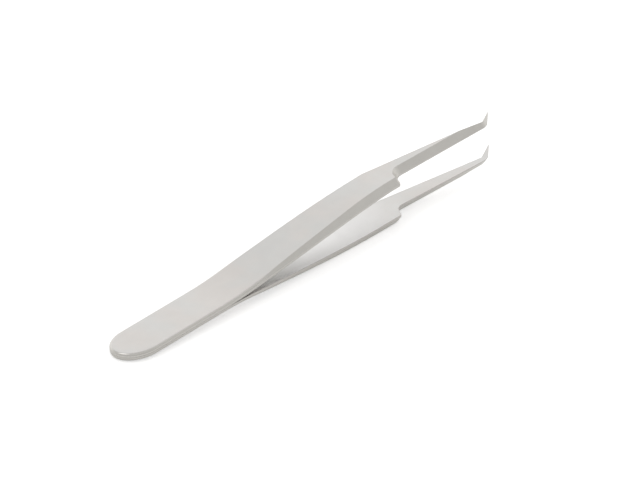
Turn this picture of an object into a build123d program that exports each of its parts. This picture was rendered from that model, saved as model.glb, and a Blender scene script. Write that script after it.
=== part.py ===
from build123d import *
import math
import os

# Angled electronics tweezers at rest on the outer face of one arm, in millimetres.
# An arm is worked out with the weld plane at z = 0, x running from the butt to the points
# and y across the flat, with the points bent towards +y. The other arm is its mirror image.

# Outline of one arm, seen on its flat; the arm is ground to its narrowest, the waist, past the notch
overall_length = 115.5
handle_width = 9.8
butt_depth = 6.6
taper_start_x = 30.7
knee_x = 77.7
knee_width = 8.4
nose_x = 81.35
nose_radius = 1.0
ramp_angle = 60.0
notch_radius = 2.6
waist_y = -1.35
bend_near_x = 110.7
bend_near_y = -2.6
bend_far_x = 110.3
bend_far_y = -1.18
point_y = 1.18
point_width = 0.12
bend_radius = 3.5

# Gap between the inner faces of the two arms, with nothing holding them
weld_length = 26.8
spread_x = 43.6
spread_gap = 2.03
swell_x = 59.4
swell_gap = 4.61
knee_gap = 6.56
bend_gap = 7.57
point_gap = 7.6

# Thickness of one arm at the same stations
butt_thickness = 0.82
spread_thickness = 1.26
swell_thickness = 1.68
knee_thickness = 1.9
bend_thickness = 1.72

# Ground edges: an upright land, then a bevel that leans in from upright by the draft angle
edge_draft = 35.0
handle_land = 0.51
bend_land = 0.1
point_land = 0.05
grind_start_x = 29.8
rim_radius = 0.55
bevel_clearance = 0.05

# Station where the shoulder's solid meets the slender part's, clear of the notch
shoulder_end_x = 94.1

# How far cutting solids reach past the arm
margin = 40.0

# Sizes that follow from the ones above
knee_half = knee_width / 2
handle_edge = handle_width / 2
draft = math.radians(edge_draft)
notch_x = nose_x + (waist_y + knee_half) / math.tan(math.radians(ramp_angle))


def between(start, end, x):
    """Value at x on the straight line through two (x, value) pairs."""
    share = (x - start[0]) / (end[0] - start[0])
    return start[1] + share * (end[1] - start[1])


def inner_z(x):
    """Height of the flat inner face, from the knee on."""
    return between((knee_x, knee_gap / 2), (bend_far_x, bend_gap / 2), x)


def outer_z(x):
    """Height of the flat outer face, from the knee on."""
    knee_top = knee_gap / 2 + knee_thickness
    bend_top = bend_gap / 2 + bend_thickness
    return between((knee_x, knee_top), (bend_far_x, bend_top), x)


def land_z(x):
    """Height of the upper edge of the land, from the knee on."""
    knee_top = knee_gap / 2 + handle_land
    bend_top = bend_gap / 2 + bend_land
    return between((knee_x, knee_top), (bend_far_x, bend_top), x)


def near_y(x):
    """Near edge of the slender part."""
    return between((notch_x, waist_y), (bend_near_x, bend_near_y), x)


def far_y(x):
    """Far edge of the slender part, a straight run from the knee to the bend."""
    return between((knee_x, knee_half), (bend_far_x, bend_far_y), x)


def handle_half(x):
    """Half width of the handle: parallel, then drawn in along an arc up to the knee."""
    share = max(0.0, (x - taper_start_x) / (knee_x - taper_start_x))
    return handle_edge - (handle_edge - knee_half) * share ** 2


def slope_of(height):
    """Rise per millimetre of a straight height function past the knee."""
    return height(knee_x + 1) - height(knee_x)


# The plane of the land's upper edge, on which the front of the arm is drawn
land_slope = slope_of(land_z)
land_plane = Plane(
    origin=(knee_x, 0, land_z(knee_x)),
    x_dir=(1, 0, land_slope),
    z_dir=(-land_slope, 0, 1),
)


def on_land(x, y):
    """Point of the land plane above the plan position x, y."""
    return Vector(x, y, land_z(x))


def wall_plane(start, end):
    """Upright plane through an edge, facing away from the steel on the edge's left."""
    along = Vector(end.X - start.X, end.Y - start.Y, 0).normalized()
    return Plane(origin=start, x_dir=along, z_dir=along.cross(Vector(0, 0, 1)))


def bevel_plane(start, end, up):
    """Ground plane through an edge, leaning in over the steel on the edge's left."""
    along = (end - start).normalized()
    inward = up.cross(along)
    lean = up * math.cos(draft) + inward * math.sin(draft)
    return Plane(origin=start, x_dir=along, z_dir=along.cross(lean))


def keep_below(body, planes):
    """The part of a body on the inner side of every plane."""
    for plane in planes:
        body = split(body, bisect_by=plane, keep=Keep.BOTTOM)
    return body


# Edges of the front of the arm, each with the steel on its left
near_start = on_land(notch_x, waist_y)
near_end = on_land(bend_near_x, bend_near_y)
far_start = on_land(bend_far_x, bend_far_y)
far_end = on_land(knee_x, knee_half)
handle_near_start = on_land(knee_x, -knee_half)
handle_near_end = on_land(nose_x, -knee_half)
land_up = land_plane.z_dir

# Planes that the front's solids share, so that they meet without a step
inner_face = Plane(
    origin=(knee_x, 0, inner_z(knee_x)),
    x_dir=(1, 0, slope_of(inner_z)),
    z_dir=(slope_of(inner_z), 0, -1),
)
outer_face = Plane(
    origin=(knee_x, 0, outer_z(knee_x)),
    x_dir=(1, 0, slope_of(outer_z)),
    z_dir=(-slope_of(outer_z), 0, 1),
)
near_wall = wall_plane(near_start, near_end)
near_bevel = bevel_plane(near_start, near_end, land_up)
far_wall = wall_plane(far_start, far_end)
far_bevel = bevel_plane(far_start, far_end, land_up)
handle_near_bevel = bevel_plane(handle_near_start, handle_near_end, land_up)


def station(x, facing):
    """Upright plane across the arm at x, facing along +x or -x."""
    return Plane(origin=(x, 0, 0), x_dir=(0, 1, 0), z_dir=(facing, 0, 0))


def handle_curve(heights, end_slope, start_x):
    """Line of one face along the handle: level to start_x, then spreading to the knee."""
    level = heights[0]
    stations = [start_x, spread_x, swell_x, knee_x]
    points = [Vector(x, 0, z) for x, z in zip(stations, heights)]
    run = Spline(points, tangents=[(1, 0, 0), (1, 0, end_slope)])
    return [Line((-margin, 0, level), (start_x, 0, level)), run]


def side_face(top_edges, bottom_edges, y):
    """Upright face at y between two lines that run the same way along the arm."""
    top = Wire(top_edges)
    bottom = Wire(bottom_edges)
    ends = [Line(bottom @ 0, top @ 0), Line(bottom @ 1, top @ 1)]
    return Location((0, y, 0)) * make_face(top_edges + bottom_edges + ends)


def handle_slab():
    """The handle's thickness and bow as a wide strip, from its butt to the knee."""
    spread_z = spread_gap / 2
    swell_z = swell_gap / 2
    knee_z = knee_gap / 2
    bottoms = [0, spread_z, swell_z, knee_z]
    tops = [
        butt_thickness,
        spread_z + spread_thickness,
        swell_z + swell_thickness,
        knee_z + knee_thickness,
    ]
    inner = handle_curve(bottoms, slope_of(inner_z), weld_length)
    outer = handle_curve(tops, slope_of(outer_z), weld_length)
    side = side_face(outer, inner, -handle_width)
    return extrude(side, amount=handle_width * 2, dir=(0, 1, 0))


def handle_outline():
    """The handle's outline on its flat: a round butt, parallel sides and the drawn-in run."""
    near_butt = (butt_depth, -handle_edge)
    far_butt = (butt_depth, handle_edge)
    near_taper = (taper_start_x, -handle_edge)
    far_taper = (taper_start_x, handle_edge)
    edges = [
        Line((knee_x, knee_half), (knee_x, -knee_half)),
        TangentArc([near_taper, (knee_x, -knee_half)], tangent=(1, 0)),
        Line(near_butt, near_taper),
        EllipticalCenterArc((butt_depth, 0), butt_depth, handle_edge, 90, arc_size=180),
        Line(far_butt, far_taper),
        TangentArc([far_taper, (knee_x, knee_half)], tangent=(1, 0)),
    ]
    return make_face(edges)


def rim_edges(blank):
    """Edges round the outer face of the handle's blank, without its end at the knee."""
    outer = [face for face in blank.faces() if face.normal_at().Z > 0.5]
    edges = [edge for face in outer for edge in face.edges()]
    rim = []
    for edge in edges:
        on_one_face = sum(edge.is_same(other) for other in edges) == 1
        if on_one_face and edge.center().X < knee_x - rim_radius:
            rim.append(edge)
    return rim


def bevel_limit(bevel, side):
    """Everything under one of the handle's two long bevels; side is -1 near, 1 far."""
    stations = [grind_start_x, spread_x, swell_x, knee_x]
    lands = [
        butt_thickness + bevel_clearance,
        spread_gap / 2 + handle_land,
        swell_gap / 2 + handle_land,
        knee_gap / 2 + handle_land,
    ]
    tops = [z - (handle_edge - handle_half(x)) / math.tan(draft) for x, z in zip(stations, lands)]
    top = handle_curve(tops, land_slope, grind_start_x)
    floor = [Line((-margin, 0, -margin), (knee_x, 0, -margin))]
    lean = bevel.z_dir.cross(Vector(-side, 0, 0)).normalized()
    return extrude(side_face(top, floor, side * handle_edge), amount=margin, dir=lean)


def make_handle():
    """The handle from its butt to the knee, with its rim rounded and its long edges ground."""
    blank = handle_slab() & extrude(handle_outline(), amount=margin)
    rounded = fillet(rim_edges(blank), rim_radius)
    return rounded & bevel_limit(handle_near_bevel, -1) & bevel_limit(far_bevel, 1)


def make_shoulder():
    """The front of the handle: knee, rounded nose, the ramp behind it and the notch's curve."""
    # The outline runs past both ends, so that the bevels there are cut off with them
    start_x = knee_x - knee_thickness
    end_x = shoulder_end_x + knee_thickness
    corners = [
        (start_x, -knee_half),
        (nose_x, -knee_half),
        (notch_x, waist_y),
        (end_x, near_y(end_x)),
        (end_x, far_y(end_x)),
        (start_x, far_y(start_x)),
    ]
    flat = [land_plane.to_local_coords(on_land(x, y)) for x, y in corners]
    shape = make_face(Polyline([(p.X, p.Y) for p in flat], close=True))
    nose = shape.vertices().sort_by_distance(flat[1])[0]
    shape = fillet(nose, nose_radius)
    notch = shape.vertices().sort_by_distance(flat[2])[0]
    shape = fillet(notch, notch_radius)
    outline = land_plane * shape
    ground = extrude(outline, amount=knee_thickness, dir=land_up, taper=edge_draft)
    upright = extrude(outline, amount=margin, dir=(0, 0, -1))
    ends = [station(knee_x, -1), station(shoulder_end_x, 1)]
    return keep_below(ground + upright, [inner_face, outer_face] + ends)


# The bent point: its own edges run from the bend to a narrow end
point_axis = math.atan2(
    point_y - (bend_near_y + bend_far_y) / 2,
    overall_length - (bend_near_x + bend_far_x) / 2,
)
point_z = point_gap / 2
half_point = point_width / 2


def at_point(offset, height):
    """Place at the very end of the point, offset across it."""
    x = overall_length - offset * math.sin(point_axis)
    y = point_y + offset * math.cos(point_axis)
    return Vector(x, y, point_z + height)


near_tip = at_point(-half_point, point_land)
far_tip = at_point(half_point, point_land)
point_near_wall = wall_plane(near_end, near_tip)
point_near_bevel = bevel_plane(near_end, near_tip, Vector(0, 0, 1))
point_far_wall = wall_plane(far_tip, far_start)
point_far_bevel = bevel_plane(far_tip, far_start, Vector(0, 0, 1))


def bend_planes():
    """Planes that round off the outer corner of the bend, tangent to an arc between the edges."""
    slender = Vector(near_end.X - near_start.X, near_end.Y - near_start.Y, 0).normalized()
    bent = Vector(near_tip.X - near_end.X, near_tip.Y - near_end.Y, 0).normalized()
    turn = slender.get_signed_angle(bent, Vector(0, 0, 1))
    middle = slender.rotate(Axis.Z, turn / 2)
    to_centre = Vector(0, 0, 1).cross(middle) * (bend_radius / math.cos(math.radians(turn / 2)))
    planes = []
    for share in (0.25, 0.5, 0.75):
        along = slender.rotate(Axis.Z, turn * share)
        foot = near_end + to_centre + along.cross(Vector(0, 0, 1)) * bend_radius
        planes.append(wall_plane(foot, foot + along))
        planes.append(bevel_plane(foot, foot + along, Vector(0, 0, 1)))
    return planes


def mitre_plane():
    """Upright plane through the inner corner of the bend, halfway between the two far edges."""
    slender = Vector(far_end.X - far_start.X, far_end.Y - far_start.Y, 0).normalized()
    bent = Vector(far_tip.X - far_start.X, far_tip.Y - far_start.Y, 0).normalized()
    along = (bent - slender).normalized()
    return Plane(origin=far_start, x_dir=Vector(0, 0, 1), z_dir=along)


def oversize_block():
    """A block round the front of the arm, to be cut down by planes."""
    centre = (shoulder_end_x + overall_length) / 2
    return Location((centre, 0, point_z)) * Box(margin, margin, margin)


def make_slender():
    """The slender part, from the shoulder to the bend: a flat that narrows to a ridge."""
    planes = [
        inner_face,
        outer_face,
        near_wall,
        near_bevel,
        far_wall,
        far_bevel,
        point_near_wall,
        point_near_bevel,
        station(shoulder_end_x, -1),
        mitre_plane(),
    ]
    return keep_below(oversize_block(), planes + bend_planes())


def make_point():
    """The bent point beyond the mitre, with three ground sides that run out at its end."""
    mitre = mitre_plane()
    across_bend = mitre.z_dir.cross(Vector(0, 0, 1))
    corner = Vector(far_start.X, far_start.Y, inner_z(far_start.X))
    beside = corner + across_bend
    beside = Vector(beside.X, beside.Y, inner_z(beside.X))
    tip = at_point(0, 0)
    face = (beside - corner).cross(tip - corner).normalized()
    if face.Z > 0:
        face = face * -1
    underside = Plane(origin=corner, x_dir=(tip - corner), z_dir=face)
    end_dir = Vector(math.cos(point_axis), math.sin(point_axis), 0)
    end = Plane(origin=tip, x_dir=Vector(0, 0, 1), z_dir=end_dir)
    behind = Plane(origin=far_start, x_dir=Vector(0, 0, 1), z_dir=mitre.z_dir * -1)
    planes = [
        underside,
        outer_face,
        near_wall,
        near_bevel,
        point_near_wall,
        point_near_bevel,
        point_far_wall,
        point_far_bevel,
        end,
        behind,
    ]
    return keep_below(oversize_block(), planes + bend_planes())


def make_arm():
    """One arm in one piece, flat butt to needle point."""
    return make_handle() + make_shoulder() + make_slender() + make_point()


def rest_angle():
    """Angle by which an arm's outer face leans from the weld plane when it lies on a table."""
    outline = [
        (spread_x, spread_gap / 2 + spread_thickness),
        (swell_x, swell_gap / 2 + swell_thickness),
        (knee_x, knee_gap / 2 + knee_thickness),
        (bend_far_x, bend_gap / 2 + bend_thickness),
    ]
    return max(math.degrees(math.atan2(z - butt_thickness, x)) for x, z in outline)


def main():
    """Builds both arms, lays them down and writes a file for each."""
    os.makedirs("parts", exist_ok=True)
    arm = make_arm()
    upper = Rot(0, -rest_angle(), 0) * arm
    lower = Rot(0, -rest_angle(), 0) * mirror(arm, about=Plane.XY)
    box = Compound([upper, lower]).bounding_box()
    seat = Location((-box.center().X, -box.center().Y, -box.min.Z))
    export_step(seat * upper, "parts/upper_arm.step")
    export_step(seat * lower, "parts/lower_arm.step")
    print("arm volume", round(arm.volume, 3), "solids", len(arm.solids()), "valid", arm.is_valid)
    print("rest angle", round(rest_angle(), 3), "shift", seat.position)


if __name__ == "__main__":
    main()
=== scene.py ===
"""Angled electronics tweezers in satin ground steel, lying on a pale table."""

import logging
import math
from dataclasses import dataclass, field
from enum import Enum

import bpy
from mathutils import Matrix, Vector

LOG = logging.getLogger("tweezers")
MM = 0.001
WHITE = (1.0, 1.0, 1.0, 1.0)
LINE_STRETCH = 26.0

Colour = tuple[float, float, float]
Span = tuple[float, float]
Socket = bpy.types.NodeSocket

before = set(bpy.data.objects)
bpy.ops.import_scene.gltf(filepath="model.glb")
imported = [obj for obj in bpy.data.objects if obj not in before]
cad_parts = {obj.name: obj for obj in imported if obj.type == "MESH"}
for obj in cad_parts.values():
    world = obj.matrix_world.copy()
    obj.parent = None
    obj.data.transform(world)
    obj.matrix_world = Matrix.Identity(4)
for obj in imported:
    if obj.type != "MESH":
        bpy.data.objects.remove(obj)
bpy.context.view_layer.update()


class Direction(Enum):
    """Way in which grinding lines run, as the scale of their noise on each axis."""

    ALONG = (1.0, LINE_STRETCH, LINE_STRETCH)
    ACROSS = (LINE_STRETCH, 1.0, 1.0)


@dataclass(frozen=True)
class Grain:
    """One family of fine grinding lines: their direction, density and detail."""

    direction: Direction
    per_metre: float
    detail: float = 4.0


@dataclass(frozen=True)
class SteelFinish:
    """Colours, gloss and relief of the satin steel, with lengths in metres. Some of the
    colours are painted light and shade.

    A span holds the values at which a mask is 0 and 1. The spans of the flats, the
    lands and the rim are read on the height of the surface's direction.
    """

    warm: Colour = (0.695, 0.67, 0.65)
    cool: Colour = (0.665, 0.66, 0.648)
    ground: Colour = (0.63, 0.615, 0.585)
    # Painted shade: the upright lands get a darker colour that stands in for the dark
    # reflections and contact shadow they show.
    land_painted_shade: Colour = (0.57, 0.555, 0.525)
    # Painted shade: dark colour laid along the edges to draw dark edge lines.
    painted_edge_shade: Colour = (0.47, 0.455, 0.43)
    # Painted light: the handle's inner faces get a lighter colour to make up for the
    # shade the other arm throws on them.
    inner: Colour = (0.80, 0.795, 0.79)

    flat_span: Span = (0.86, 0.95)
    upright_span: Span = (0.45, 0.2)
    rounded_low: Span = (0.66, 0.74)
    rounded_high: Span = (0.95, 0.88)

    weld_lean: float = 3.212
    weld_height: float = 4.209 * MM
    inward_span: Span = (-0.5, -0.9)
    inner_back: Span = (-15 * MM, 0.0)
    inner_front: Span = (30 * MM, 16 * MM)

    cloud_size: float = 11 * MM
    cloud_detail: float = 3.0
    cloud_span: Span = (0.38, 0.62)
    haze_finer: float = 3.5
    haze_detail: float = 2.0
    line_share: float = 0.4
    shade_range: Span = (0.93, 1.05)
    lengthwise: Grain = Grain(Direction.ALONG, 190.0)
    crosswise: Grain = Grain(Direction.ACROSS, 260.0)

    edge_radius: float = 0.12 * MM
    edge_samples: int = 6
    # Where and how strongly the painted edge shade is laid.
    edge_span: Span = (0.995, 0.93)
    edge_share: float = 0.6

    flat_roughness: float = 0.36
    ground_roughness: float = 0.42
    rim_roughness: float = 0.14
    edge_roughness: float = 0.26
    cloud_roughness: Span = (-0.03, 0.03)
    line_roughness: Span = (-0.05, 0.05)

    wave_strength: float = 0.5
    wave_depth: float = 0.05 * MM
    scratch_strength: float = 0.4
    scratch_depth: float = 0.006 * MM


class NodeSheet:
    """Small helper that adds and joins shader nodes in one tree."""

    def __init__(self, tree: bpy.types.NodeTree) -> None:
        """Empties the tree.

        Args:
            tree: node tree to fill.
        """
        self.tree = tree
        tree.nodes.clear()

    def add(self, kind: str, **values: object) -> bpy.types.Node:
        """Adds a node and sets its properties.

        Args:
            kind: node type name without its ShaderNode prefix.
            values: properties of the node, by name.

        Returns:
            The new node.
        """
        node = self.tree.nodes.new("ShaderNode" + kind)
        for name, value in values.items():
            setattr(node, name, value)
        return node

    def feed(self, socket: Socket, source: object) -> None:
        """Sets an input to a value, or joins it to an output.

        Args:
            socket: the input.
            source: an output socket, a number or a tuple.
        """
        if isinstance(source, Socket):
            self.tree.links.new(source, socket)
        else:
            socket.default_value = source

    def math(self, operation: str, first: object, second: object = 0.0) -> Socket:
        """Adds a math node.

        Args:
            operation: Blender's name of the operation.
            first: first operand, an output or a number.
            second: second operand.

        Returns:
            The result's output socket.
        """
        node = self.add("Math", operation=operation)
        self.feed(node.inputs[0], first)
        self.feed(node.inputs[1], second)
        return node.outputs[0]

    def ramp(self, value: object, low: float, high: float) -> Socket:
        """Turns a value into a smooth 0 to 1 mask between two limits.

        Args:
            value: the value, an output socket.
            low: value that gives 0.
            high: value that gives 1.

        Returns:
            The mask's output socket.
        """
        node = self.add("MapRange", interpolation_type="SMOOTHSTEP")
        self.feed(node.inputs["Value"], value)
        self.feed(node.inputs["From Min"], low)
        self.feed(node.inputs["From Max"], high)
        return node.outputs["Result"]

    def spread(self, value: object, low: float, high: float) -> Socket:
        """Stretches a 0 to 1 value to a new span.

        Args:
            value: the value, an output socket.
            low: result at 0.
            high: result at 1.

        Returns:
            The result's output socket.
        """
        node = self.add("MapRange")
        self.feed(node.inputs["Value"], value)
        self.feed(node.inputs["To Min"], low)
        self.feed(node.inputs["To Max"], high)
        return node.outputs["Result"]

    def blend(
        self, share: object, first: object, second: object, kind: str = "MIX"
    ) -> Socket:
        """Mixes two colours.

        Args:
            share: how much of the second colour there is.
            first: first colour, an output or a tuple of three.
            second: second colour.
            kind: Blender's name of the way in which they mix.

        Returns:
            The mixed colour's output socket.
        """
        node = self.add("Mix", data_type="RGBA", blend_type=kind)
        self.feed(node.inputs["Factor"], share)
        for socket, colour in ((node.inputs["A"], first), (node.inputs["B"], second)):
            self.feed(socket, (*colour, 1.0) if isinstance(colour, tuple) else colour)
        return node.outputs["Result"]

    def blend_value(self, share: object, first: object, second: object) -> Socket:
        """Mixes two numbers.

        Args:
            share: how much of the second number there is.
            first: first number or output.
            second: second number or output.

        Returns:
            The mixed number's output socket.
        """
        node = self.add("Mix", data_type="FLOAT")
        self.feed(node.inputs["Factor"], share)
        self.feed(node.inputs["A"], first)
        self.feed(node.inputs["B"], second)
        return node.outputs["Result"]

    def noise(self, vector: Socket, scale: float, detail: float) -> Socket:
        """Adds a noise texture.

        Args:
            vector: coordinates, an output socket.
            scale: noise cells per metre.
            detail: how many finer layers it has.

        Returns:
            The noise value's output socket.
        """
        node = self.add("TexNoise")
        self.feed(node.inputs["Vector"], vector)
        self.feed(node.inputs["Scale"], scale)
        self.feed(node.inputs["Detail"], detail)
        return node.outputs["Fac"]

    def part(self, vector: Socket, axis: str) -> Socket:
        """Takes one part of a vector.

        Args:
            vector: the vector, an output socket.
            axis: X, Y or Z.

        Returns:
            The part's output socket.
        """
        node = self.add("SeparateXYZ")
        self.feed(node.inputs[0], vector)
        return node.outputs[axis]

    def dot(self, first: object, second: object) -> Socket:
        """Multiplies two vectors to a number.

        Args:
            first: first vector, an output or a tuple of three.
            second: second vector.

        Returns:
            The number's output socket.
        """
        node = self.add("VectorMath", operation="DOT_PRODUCT")
        self.feed(node.inputs[0], first)
        self.feed(node.inputs[1], second)
        return node.outputs["Value"]

    def bump(
        self, height: Socket, normal: Socket, strength: float, depth: float
    ) -> Socket:
        """Adds relief to the surface.

        Args:
            height: relief from 0 to 1.
            normal: the surface's direction before it.
            strength: how much of it counts.
            depth: height of the relief in metres.

        Returns:
            The surface's direction with the relief.
        """
        node = self.add("Bump")
        self.feed(node.inputs["Strength"], strength)
        self.feed(node.inputs["Distance"], depth)
        self.feed(node.inputs["Height"], height)
        self.feed(node.inputs["Normal"], normal)
        return node.outputs["Normal"]


@dataclass(frozen=True)
class Zones:
    """Output sockets from 0 to 1 that say where each look of the steel lies."""

    flat: Socket
    upright: Socket
    rounded: Socket
    cloudy: Socket
    lines: Socket
    painted_edge_shade: Socket


class SatinSteel:
    """The steel: satin flats, ground bevels, a polished rim, painted shade on the lands
    and edges and painted light on the inner faces.
    """

    def __init__(self, finish: SteelFinish) -> None:
        """Builds the material.

        Args:
            finish: its colours, gloss and relief.
        """
        self.finish = finish
        self.material = bpy.data.materials.new("satin_ground_steel")
        self.material.use_nodes = True
        self.sheet = NodeSheet(self.material.node_tree)
        coords = self.sheet.add("TexCoord")
        self.place = coords.outputs["Object"]
        self.upwards = self.sheet.part(coords.outputs["Normal"], "Z")
        self.clouds = self.sheet.noise(
            self.place, 1 / finish.cloud_size, finish.cloud_detail
        )
        self.softened = self.soften()
        self.build()

    def soften(self) -> Socket:
        """Rounds the look of the edges.

        Returns:
            The surface's direction with the edges rounded.
        """
        edge = self.sheet.add("Bevel", samples=self.finish.edge_samples)
        self.sheet.feed(edge.inputs["Radius"], self.finish.edge_radius)
        return edge.outputs["Normal"]

    def grain(self, grain: Grain) -> Socket:
        """Adds one family of grinding lines.

        Args:
            grain: the lines.

        Returns:
            The lines' height from 0 to 1.
        """
        mapping = self.sheet.add("Mapping")
        self.sheet.feed(mapping.inputs["Vector"], self.place)
        self.sheet.feed(mapping.inputs["Scale"], grain.direction.value)
        stretched = mapping.outputs["Vector"]
        return self.sheet.noise(stretched, grain.per_metre, grain.detail)

    def inner_mask(self) -> Socket:
        """Finds the handle's inner faces, which look towards the weld plane, where
        painted light lightens the colour.

        Returns:
            The mask, which fades out towards the weld and past the knee.
        """
        s, f = self.sheet, self.finish
        lean = math.radians(f.weld_lean)
        height = s.dot(self.place, (-math.sin(lean), 0.0, math.cos(lean)))
        side = s.math("SIGN", s.math("SUBTRACT", height, f.weld_height))
        inwards = s.ramp(s.math("MULTIPLY", side, self.upwards), *f.inward_span)
        along = s.part(self.place, "X")
        back = s.ramp(along, *f.inner_back)
        front = s.ramp(along, *f.inner_front)
        return s.math("MULTIPLY", inwards, s.math("MULTIPLY", back, front))

    def zones(self) -> Zones:
        """Finds the zones by the way in which the surface looks.

        Returns:
            The zones.
        """
        s, f = self.sheet, self.finish
        tilt = s.math("ABSOLUTE", self.upwards)
        flat = s.ramp(tilt, *f.flat_span)
        low, high = s.ramp(tilt, *f.rounded_low), s.ramp(tilt, *f.rounded_high)
        geometry = s.add("NewGeometry")
        meet = s.dot(self.softened, geometry.outputs["True Normal"])
        lines = s.blend_value(flat, self.grain(f.crosswise), self.grain(f.lengthwise))
        return Zones(
            flat=flat,
            upright=s.ramp(tilt, *f.upright_span),
            rounded=s.math("MULTIPLY", low, high),
            cloudy=s.ramp(self.clouds, *f.cloud_span),
            lines=lines,
            # Painted shade: where the dark edge colour goes, found where the rounded
            # direction leaves the true one.
            painted_edge_shade=s.math("MULTIPLY", s.ramp(meet, *f.edge_span), f.edge_share),
        )

    def colour(self, zones: Zones) -> Socket:
        """Colours the zones, with painted light on the inner faces and painted shade on
        the lands and edges.

        Args:
            zones: where each look lies.

        Returns:
            The colour's output socket.
        """
        s, f = self.sheet, self.finish
        clouded = s.blend(zones.cloudy, f.cool, f.warm)
        # Painted light: the inner faces are lightened.
        satin = s.blend(self.inner_mask(), clouded, f.inner)
        # Painted shade: the upright lands are darkened.
        ground = s.blend(zones.upright, f.ground, f.land_painted_shade)
        clean = s.blend(zones.flat, ground, satin)
        haze = s.noise(self.place, f.haze_finer / f.cloud_size, f.haze_detail)
        mottle = s.blend_value(f.line_share, haze, zones.lines)
        shaded = s.blend(1.0, clean, s.spread(mottle, *f.shade_range), "MULTIPLY")
        # Painted shade: dark lines laid along the edges.
        return s.blend(zones.painted_edge_shade, shaded, f.painted_edge_shade)

    def roughness(self, zones: Zones) -> Socket:
        """Makes the gloss of the zones.

        Args:
            zones: where each look lies.

        Returns:
            The roughness's output socket.
        """
        s, f = self.sheet, self.finish
        soft = s.blend_value(zones.flat, f.ground_roughness, f.flat_roughness)
        polished = s.math("MAXIMUM", zones.upright, zones.rounded)
        rimmed = s.blend_value(polished, soft, f.rim_roughness)
        uneven = s.math("ADD", rimmed, s.spread(zones.cloudy, *f.cloud_roughness))
        brushed = s.math("ADD", uneven, s.spread(zones.lines, *f.line_roughness))
        # The edges under the painted shade are also a little glossier.
        return s.blend_value(zones.painted_edge_shade, brushed, f.edge_roughness)

    def relief(self, zones: Zones) -> Socket:
        """Makes the slight waves of the steel and the depth of its grinding lines.

        Args:
            zones: where each look lies.

        Returns:
            The surface's direction.
        """
        s, f = self.sheet, self.finish
        waved = s.bump(self.clouds, self.softened, f.wave_strength, f.wave_depth)
        return s.bump(zones.lines, waved, f.scratch_strength, f.scratch_depth)

    def build(self) -> None:
        """Joins colour, gloss and relief to one metal."""
        s, zones = self.sheet, self.zones()
        steel = s.add("BsdfPrincipled")
        s.feed(steel.inputs["Metallic"], 1.0)
        s.feed(steel.inputs["Base Color"], self.colour(zones))
        s.feed(steel.inputs["Roughness"], self.roughness(zones))
        s.feed(steel.inputs["Normal"], self.relief(zones))
        out = s.add("OutputMaterial")
        s.feed(out.inputs["Surface"], steel.outputs["BSDF"])


@dataclass
class Arm:
    """One arm of the tweezers, whose form is the CAD node's."""

    node: str

    def dress(self, steel: SatinSteel) -> bpy.types.Object:
        """Puts the steel on the arm.

        Args:
            steel: the finish.

        Returns:
            The arm's object.
        """
        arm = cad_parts[self.node]
        for slot in arm.material_slots:
            slot.material = steel.material
        return arm


@dataclass
class Table:
    """The pale table top under the tweezers."""

    size: float = 8.0
    colour: Colour = (0.86, 0.86, 0.86)
    lift: float = 0.45
    mirrored_lift: float = 0.2

    def build(self) -> bpy.types.Object:
        """Adds the table top.

        Returns:
            Its object.
        """
        bpy.ops.object.select_all(action="DESELECT")
        bpy.ops.mesh.primitive_plane_add(size=self.size, location=(0, 0, 0))
        top = bpy.context.object
        top.name = "table_top"
        top.data.materials.append(self.paint())
        return top

    def paint(self) -> bpy.types.Material:
        """Makes the table's matt white.

        Returns:
            The material.
        """
        material = bpy.data.materials.new("table_white")
        material.use_nodes = True
        s = NodeSheet(material.node_tree)
        matt = s.add("BsdfDiffuse")
        matt.inputs["Color"].default_value = (*self.colour, 1.0)
        path = s.add("LightPath")
        seen = s.math("MULTIPLY", path.outputs["Is Camera Ray"], self.lift)
        mirrored = s.math("MULTIPLY", path.outputs["Is Glossy Ray"], self.mirrored_lift)
        glow = s.add("Emission")
        s.feed(glow.inputs["Strength"], s.math("MAXIMUM", seen, mirrored))
        both = s.add("AddShader")
        s.feed(both.inputs[0], matt.outputs[0])
        s.feed(both.inputs[1], glow.outputs[0])
        out = s.add("OutputMaterial")
        s.feed(out.inputs["Surface"], both.outputs[0])
        return material


@dataclass
class Softbox:
    """A large soft lamp turned towards the tweezers."""

    name: str
    place: tuple[float, float, float]
    size: float
    radiance: float

    def build(self) -> bpy.types.Object:
        """Adds the lamp.

        Returns:
            Its object.
        """
        lamp = bpy.data.lights.new(self.name, "AREA")
        lamp.shape = "SQUARE"
        lamp.size = self.size
        lamp.energy = self.radiance * math.pi * self.size**2
        softbox = bpy.data.objects.new(self.name, lamp)
        softbox.location = self.place
        softbox.rotation_euler = Vector(self.place).to_track_quat("Z", "Y").to_euler()
        softbox.visible_camera = False
        bpy.context.scene.collection.objects.link(softbox)
        return softbox


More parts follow.
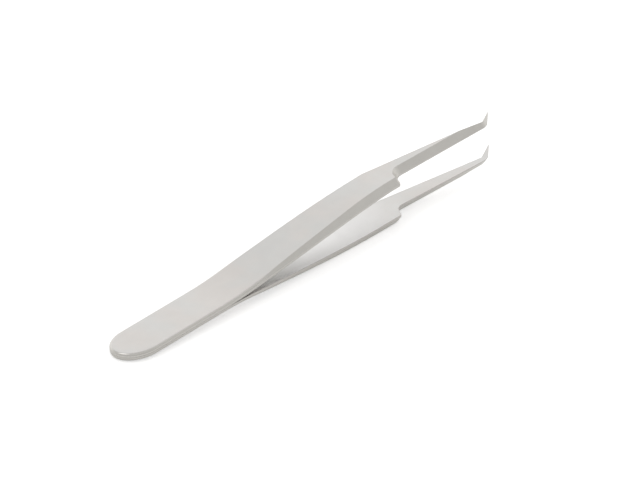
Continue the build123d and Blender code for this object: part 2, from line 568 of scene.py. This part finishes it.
@dataclass
class Studio:
    """World light, lamp, table and camera.

    The greys are levels of the room's light. A span holds the directions at which
    one grey ends and the next is reached, as a share of the full direction.
    """

    back_azimuth: float = 41.0
    front_grey: float = 0.66
    back_grey: float = 1.19
    top_grey: float = 0.78
    back_span: Span = (-0.1, 0.75)
    top_span: Span = (0.3, 0.9)
    tint: Colour = (1.0, 0.995, 0.985)
    softboxes: list[Softbox] = field(
        default_factory=lambda: [
            Softbox("key_softbox", (-0.42, 0.25, 1.05), 0.6, 0.8),
        ]
    )

    def build(self) -> None:
        """Sets the view, the world, the lamps, the table and the camera."""
        bpy.context.scene.view_settings.view_transform = "Standard"
        self.light_world()
        for softbox in self.softboxes:
            softbox.build()
        Table().build()
        PhotoCamera().build()

    def light_world(self) -> None:
        """Makes a soft room: a bright back wall, a dimmer ceiling and front."""
        world = bpy.data.worlds.new("studio")
        bpy.context.scene.world = world
        world.use_nodes = True
        s = NodeSheet(world.node_tree)
        direction = s.add("TexCoord").outputs["Generated"]
        turn = math.radians(self.back_azimuth)
        along = s.dot(direction, (math.cos(turn), math.sin(turn), 0.0))
        behind = s.ramp(along, *self.back_span)
        overhead = s.ramp(s.part(direction, "Z"), *self.top_span)
        walls = s.blend_value(behind, self.front_grey, self.back_grey)
        room = s.blend_value(overhead, walls, self.top_grey)
        lit = s.add("Background")
        s.feed(lit.inputs["Strength"], room)
        s.feed(lit.inputs["Color"], (*self.tint, 1.0))
        seen = s.add("Background")
        s.feed(seen.inputs["Color"], WHITE)
        path = s.add("LightPath")
        mix = s.add("MixShader")
        s.feed(mix.inputs[0], path.outputs["Is Camera Ray"])
        s.feed(mix.inputs[1], lit.outputs[0])
        s.feed(mix.inputs[2], seen.outputs[0])
        out = s.add("OutputWorld")
        s.feed(out.inputs["Surface"], mix.outputs[0])


@dataclass
class PhotoCamera:
    """A long-lens camera at the photograph's viewing angle, in millimetres."""

    heading: float = 49.085
    elevation: float = 27.029
    distance: float = 1251.0
    aim: tuple[float, float, float] = (0.0, 0.0, 4.0)
    pixels_per_mm: float = 4.9746
    picture_width: float = 640.0
    move_right: float = 1.9559
    move_up: float = 0.0714
    sensor: float = 36.0
    clip: Span = (50.0, 50000.0)

    def build(self) -> bpy.types.Object:
        """Adds the camera and makes it the scene's.

        Returns:
            Its object.
        """
        turn, tip = math.radians(self.heading), math.radians(self.elevation)
        level = math.cos(tip)
        ahead = Vector(
            (math.sin(turn) * level, math.cos(turn) * level, -math.sin(tip))
        )
        right = Vector((math.cos(turn), -math.sin(turn), 0.0))
        up = right.cross(ahead)
        place = Vector(self.aim) - ahead * self.distance
        place += right * self.move_right + up * self.move_up
        pixels = self.pixels_per_mm * self.distance
        lens = bpy.data.cameras.new("photo_camera")
        lens.sensor_width = self.sensor
        lens.lens = pixels / self.picture_width * self.sensor
        lens.clip_start, lens.clip_end = (limit * MM for limit in self.clip)
        camera = bpy.data.objects.new("photo_camera", lens)
        turned = Matrix((right, up, -ahead)).transposed().to_4x4()
        camera.matrix_world = Matrix.Translation(place * MM) @ turned
        bpy.context.scene.collection.objects.link(camera)
        bpy.context.scene.camera = camera
        return camera


@dataclass
class Tweezers:
    """The whole tool: two arms joined at the butt."""

    finish: SteelFinish = SteelFinish()
    arms: list[Arm] = field(
        default_factory=lambda: [Arm("upper_arm"), Arm("lower_arm")]
    )

    def build(self) -> None:
        """Dresses both arms."""
        steel = SatinSteel(self.finish)
        for arm in self.arms:
            piece = arm.dress(steel)
            LOG.info("%s: %d faces", piece.name, len(piece.data.polygons))


def main() -> None:
    """Builds the studio and the tweezers."""
    logging.basicConfig(level=logging.INFO, format="%(name)s %(message)s")
    Studio().build()
    Tweezers().build()


if __name__ == "__main__":
    main()
